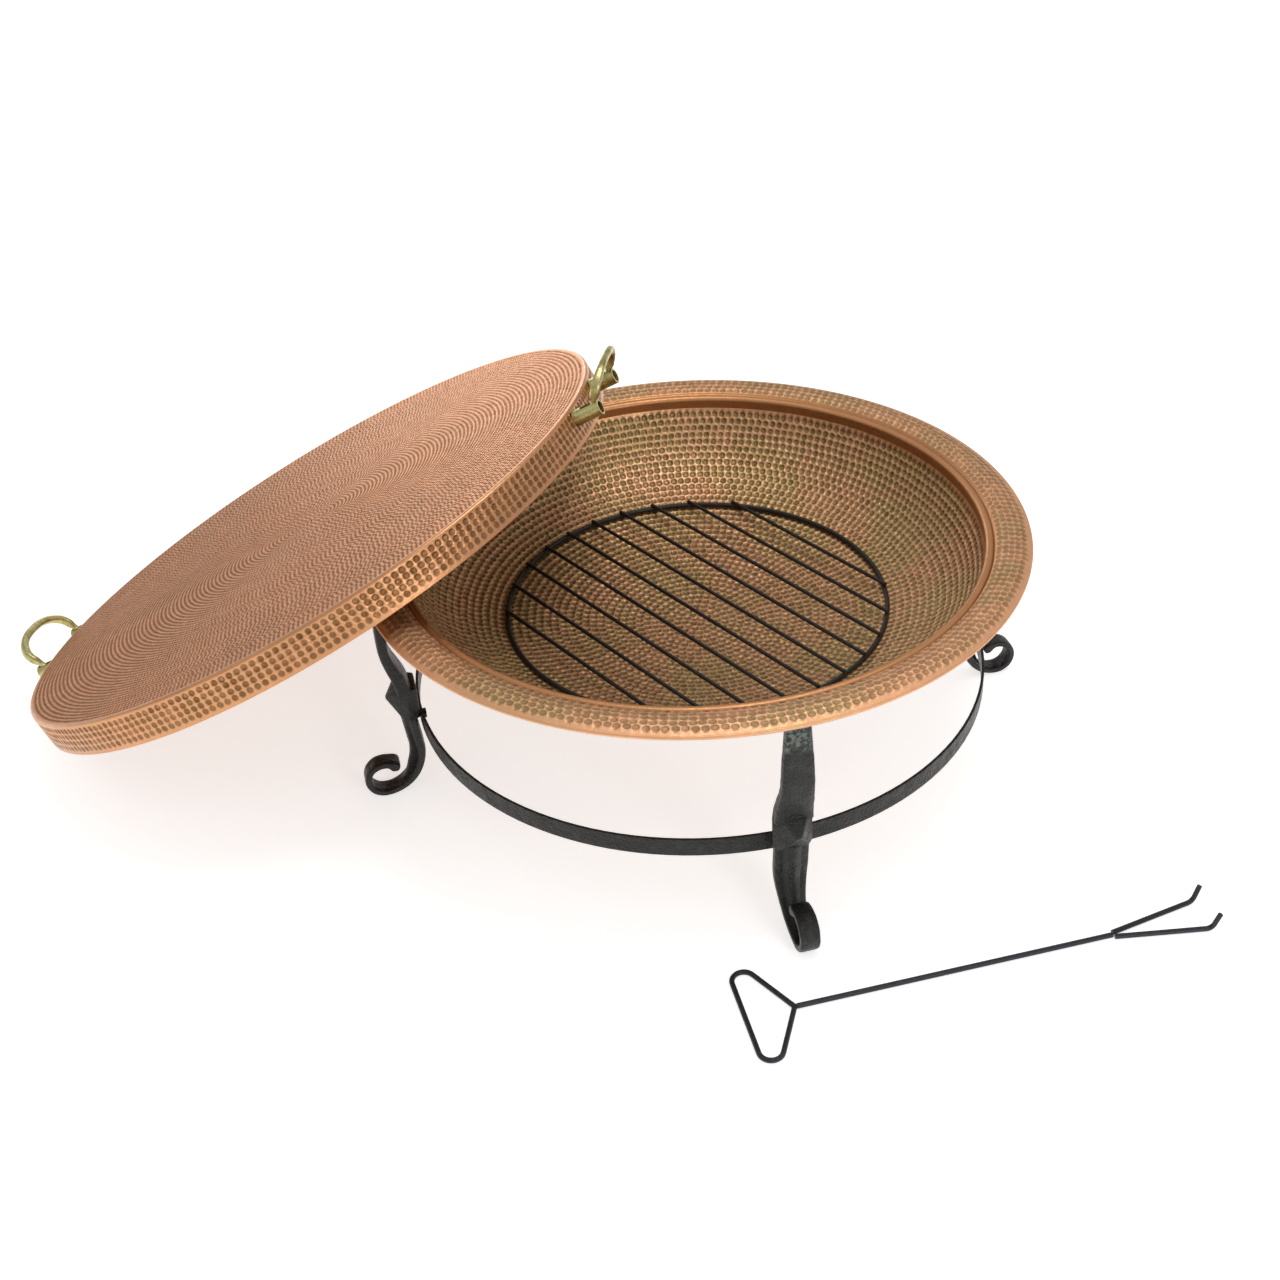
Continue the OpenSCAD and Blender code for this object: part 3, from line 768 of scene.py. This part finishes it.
for joint in frame["record"]["behaviour"]["joints"]:
    if joint["name"].endswith("bail_swing"):
        hand = joint["child"].split("_")[0]
        tangent = -Vector(joint["axis"])
        outward = tangent.cross(Vector((-math.sin(LID_TILT), 0, math.cos(LID_TILT))))
        rise = Matrix.Rotation(-BAIL_RISE[hand], 3, tangent)
        along = rise @ outward
        basis = np.array(Matrix((along, tangent, along.cross(tangent))))
        points, faces = bail_shape()
        points = points @ basis + np.array(joint["pos_m"])
        piece = add_mesh(f"{hand}_bail_cast", points, faces, joint["child"], BRASS)
        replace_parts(piece, joint["child"])


# ---- CAD nodes that stay ----
LOOKS = {"forged_iron": IRON, "grate_wire": GRATE_IRON, "poker_wire": POKER_IRON,
         "handle_brass": BRASS}
for part in frame["record"]["subparts"]:
    look = LOOKS.get(part["material_slot"])
    if look:
        mesh = nodes[part["node"]].data
        mesh.materials.clear()
        mesh.materials.append(look)


# ---- Floor, light and camera ----
VIEW_TURN = math.radians(18.36)
VIEW_DOWN = math.radians(33.783)
VIEW_ROLL = math.radians(-2.211)
VIEW_DISTANCE = 2.2436
LOOK_HEIGHT = 0.215
FOCAL = 1.3238  # as a share of the sensor's width
SHIFT = (-0.0446, -0.0321)

ahead = Vector((-math.sin(VIEW_TURN) * math.cos(VIEW_DOWN),
                math.cos(VIEW_TURN) * math.cos(VIEW_DOWN),
                -math.sin(VIEW_DOWN)))
level = Vector((math.cos(VIEW_TURN), math.sin(VIEW_TURN), 0))
upright = level.cross(ahead)
right = level * math.cos(VIEW_ROLL) + upright * math.sin(VIEW_ROLL)
up = upright * math.cos(VIEW_ROLL) - level * math.sin(VIEW_ROLL)
camera_data = bpy.data.cameras.new("camera")
camera_data.sensor_width = 36
camera_data.lens = camera_data.sensor_width * FOCAL
camera_data.shift_x, camera_data.shift_y = SHIFT
camera = bpy.data.objects.new("camera", camera_data)
bpy.context.scene.collection.objects.link(camera)
spot = Vector((BOWL.x, BOWL.y, LOOK_HEIGHT)) - ahead * VIEW_DISTANCE
camera.matrix_world = Matrix.Translation(spot) @ Matrix((right, up, -ahead)).transposed().to_4x4()
bpy.context.scene.camera = camera

# The floor glows a little, so that it comes out white like the photograph's background.
FLOOR = 40.0
WHITE = (1.0, 1.0, 1.0, 1.0)
floor_mat, _, floor_shader = material("floor")
for socket, value in (("Base Color", (0.85, 0.85, 0.85, 1.0)), ("Emission Color", WHITE),
                      ("Emission Strength", 0.62), ("Roughness", 0.9)):
    floor_shader.inputs[socket].default_value = value
corners = [(x * FLOOR, y * FLOOR, 0) for x, y in ((-1, -1), (1, -1), (1, 1), (-1, 1))]
floor_mesh = bpy.data.meshes.new("floor")
floor_mesh.from_pydata(corners, [], [(0, 1, 2, 3)])
floor_mesh.materials.append(floor_mat)
floor = bpy.data.objects.new("floor", floor_mesh)
bpy.context.scene.collection.objects.link(floor)

world = bpy.data.worlds.new("studio")
world.use_nodes = True
background = world.node_tree.nodes["Background"]
background.inputs["Color"].default_value = WHITE
background.inputs["Strength"].default_value = 0.55
bpy.context.scene.world = world


def softbox(name, place, aim, size, power):
    """A square lamp, size in metres and power in watts."""
    data = bpy.data.lights.new(name, "AREA")
    data.shape = "SQUARE"
    data.size = size
    data.energy = power
    lamp = bpy.data.objects.new(name, data)
    lamp.location = place
    lamp.rotation_euler = (Vector(aim) - Vector(place)).to_track_quat("-Z", "Y").to_euler()
    bpy.context.scene.collection.objects.link(lamp)


softbox("key", (-1.7, 2.4, 0.85), (0, 0.1, 0.45), size=1.3, power=11)
softbox("top", (0.5, 0.2, 3.0), (0.1, 0, 0.2), size=1.2, power=22)
softbox("fill", (2.2, -1.8, 1.2), (0, 0, 0.2), size=0.7, power=12)
softbox("left", (-2.0, -1.6, 2.2), (0, 0, 0.2), size=1.2, power=2)
bpy.context.scene.view_settings.view_transform = "Standard"
